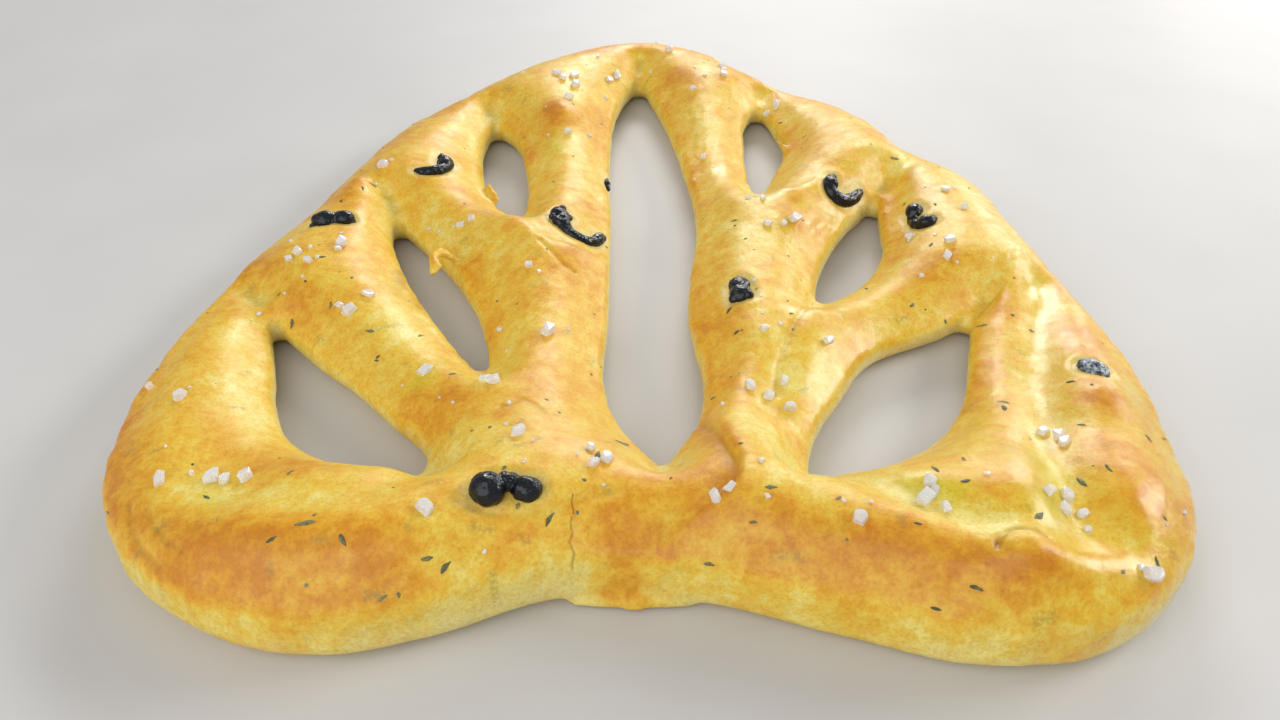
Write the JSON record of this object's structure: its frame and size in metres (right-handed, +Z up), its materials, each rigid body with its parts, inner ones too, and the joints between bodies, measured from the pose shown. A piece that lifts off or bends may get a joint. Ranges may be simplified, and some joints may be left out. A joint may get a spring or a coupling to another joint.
{
  "type": "leaf-shaped flatbread",
  "caption": "Leaf-shaped flatbread, slashed right through in a fan of long slits, with black olive pieces set in the crust and coarse salt on top.",
  "frame": {"origin": "middle of the loaf's footprint, on the surface it lies on", "axes": "+X across the loaf to the right as seen in the picture, +Y from the broad end to the tip, +Z up"},
  "size_m": [0.2808, 0.3355, 0.0316],
  "materials": {
    "crust": "baked golden crust, lightly oiled",
    "olive_skin": "glossy black"
  },
  "bodies": {
    "root": {"bread": "crust", "olive_base": "olive_skin", "olive_left_rim": "olive_skin", "olive_left_spine": "olive_skin", "olive_right_bar": "olive_skin", "olive_right_edge": "olive_skin", "olive_right_rim": "olive_skin", "olive_right_spine": "olive_skin", "olive_slit_edge": "olive_skin", "olive_upper_left": "olive_skin"}
  },
  "joints": []
}
